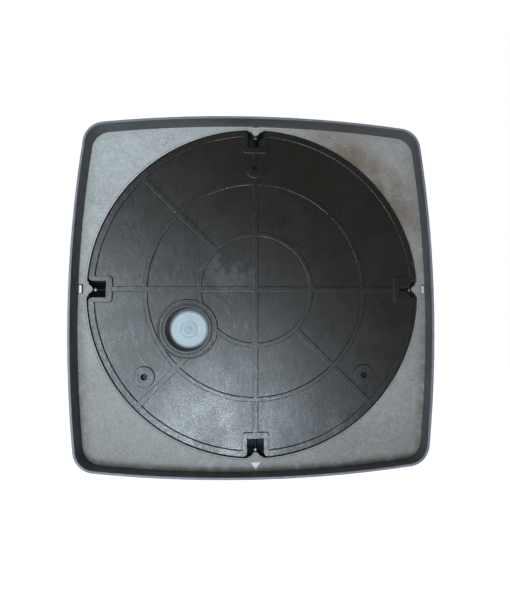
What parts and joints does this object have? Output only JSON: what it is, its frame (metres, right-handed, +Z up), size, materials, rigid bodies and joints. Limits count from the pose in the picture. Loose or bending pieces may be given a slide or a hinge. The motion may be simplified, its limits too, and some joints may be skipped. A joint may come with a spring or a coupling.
{
  "type": "bathroom extractor fan",
  "caption": "Surface-mounted centrifugal extractor fan: bowed square casing, round ribbed base plate, hinged louvred grille and a flat-duct outlet with a backdraught flap.",
  "frame": {"origin": "centre of the round rear opening, on the wall plane that the rim's lip rests against", "axes": "+Y out of the fan into the wall, +Z up, +X to the right seen from the room; the room is on the -Y side"},
  "size_m": [0.318, 0.0955, 0.318],
  "materials": {
    "casing_grey": "moulded, fine texture",
    "plate_black": "moulded, semi-matt",
    "scroll_black": "moulded",
    "grommet_white": "translucent silicone",
    "steel_bright": "zinc plated",
    "zinc_pale": "zinc plated, dull",
    "steel_dark": "laminated, lacquered",
    "rotor_steel": "pressed, passivated",
    "magnet": "bonded ferrite",
    "impeller_grey": "glass filled",
    "copper": "enamelled wire",
    "flange_alu": "die cast",
    "damper_rubber": "soft",
    "lead_brown": "insulated lead",
    "pcb_green": "solder mask",
    "terminal_white": "moulded",
    "relay_black": "moulded",
    "film_yellow": "dipped",
    "can_blue": "sleeved can",
    "trimmer_blue": "moulded",
    "trimmer_white": "moulded",
    "clamp_grey": "moulded"
  },
  "bodies": {
    "housing": {"rear_frame": "casing_grey", "front_cover": "casing_grey", "outlet_socket": "casing_grey", "grille_hinge_pins": "steel_bright", "casing_screws": "steel_bright", "casing_nuts": "zinc_pale", "base_plate": "plate_black", "cable_grommet": "grommet_white", "cable_clamp": "clamp_grey", "cable_clamp_screws": "steel_bright", "scroll_housing": "scroll_black", "scroll_cover": "scroll_black", "scroll_screws": "steel_bright", "scroll_cover_screws": "steel_bright", "flap_pivot_rod": "steel_bright", "motor_flange": "flange_alu", "motor_bearings": "steel_bright", "stator_core": "steel_dark", "stator_windings": "copper", "motor_dampers": "damper_rubber", "motor_screws": "steel_bright", "motor_leads": "lead_brown", "control_pcb": "pcb_green", "pcb_screws": "steel_bright", "terminal_block": "terminal_white", "terminal_screws": "steel_bright", "relay": "relay_black", "film_capacitor": "film_yellow", "smoothing_capacitor": "can_blue", "trimmer_bodies": "trimmer_blue", "humidity_sensor": "terminal_white"},
    "wheel": {"impeller": "impeller_grey", "rotor_cup": "rotor_steel", "rotor_magnet": "magnet", "motor_shaft": "steel_bright", "shaft_circlip": "steel_dark"},
    "flap": {"backdraught_flap": "impeller_grey"},
    "grille": {"front_grille": "casing_grey"},
    "timer_knob": {"timer_trimmer": "trimmer_white"},
    "humidity_knob": {"humidity_trimmer": "trimmer_white"}
  },
  "joints": [
    {"name": "impeller_spin", "type": "hinge", "parent": "housing", "child": "wheel", "pos_m": [-0.026, -0.05, -0.022], "axis": [0, -1, 0], "continuous": true},
    {"name": "flap_swing", "type": "hinge", "parent": "housing", "child": "flap", "pos_m": [0.02, -0.045, 0.0865], "axis": [-1, 0, 0], "range_deg": [0, 75]},
    {"name": "grille_hinge", "type": "hinge", "parent": "housing", "child": "grille", "pos_m": [0, -0.09, 0.1029], "axis": [-1, 0, 0], "range_deg": [0, 90]},
    {"name": "timer_turn", "type": "hinge", "parent": "housing", "child": "timer_knob", "pos_m": [0.08, -0.055, 0.008], "axis": [0, -1, 0], "range_deg": [-135, 135]},
    {"name": "humidity_turn", "type": "hinge", "parent": "housing", "child": "humidity_knob", "pos_m": [0.08, -0.055, 0.0205], "axis": [0, -1, 0], "range_deg": [-135, 135]}
  ]
}
